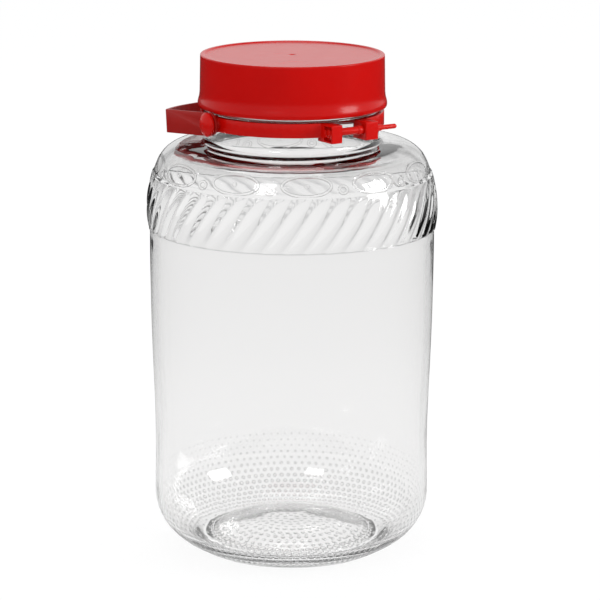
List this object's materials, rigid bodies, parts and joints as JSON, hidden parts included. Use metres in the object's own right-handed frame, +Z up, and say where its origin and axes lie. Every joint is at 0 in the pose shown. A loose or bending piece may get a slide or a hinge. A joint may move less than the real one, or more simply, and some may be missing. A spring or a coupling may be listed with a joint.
{
  "type": "glass storage jar",
  "caption": "Large clear glass pickling jar with a red plastic screw lid, a pinned neck collar and a swinging strap handle.",
  "frame": {"origin": "centre of the flat ring under the base that the jar stands on", "axes": "+Z up along the jar's axis, X along the handle's pivot axis, -Y towards the collar's lugs and lock pin, and the handle lies back towards +Y"},
  "size_m": [0.2066, 0.2062, 0.3573],
  "materials": {
    "clear_glass": "clear",
    "lid_plastic": "gloss",
    "collar_plastic": "satin",
    "pin_plastic": "satin",
    "handle_plastic": "satin"
  },
  "bodies": {
    "jar": {"glass_jar": "clear_glass", "screw_lid": "lid_plastic", "neck_collar": "collar_plastic", "lock_pin": "pin_plastic"},
    "handle": {"strap_handle": "handle_plastic"}
  },
  "joints": [
    {"name": "handle_swing", "type": "hinge", "parent": "jar", "child": "handle", "pos_m": [0, 0, 0.3131], "axis": [1, 0, 0], "range_deg": [-2.2, 192.6]}
  ]
}
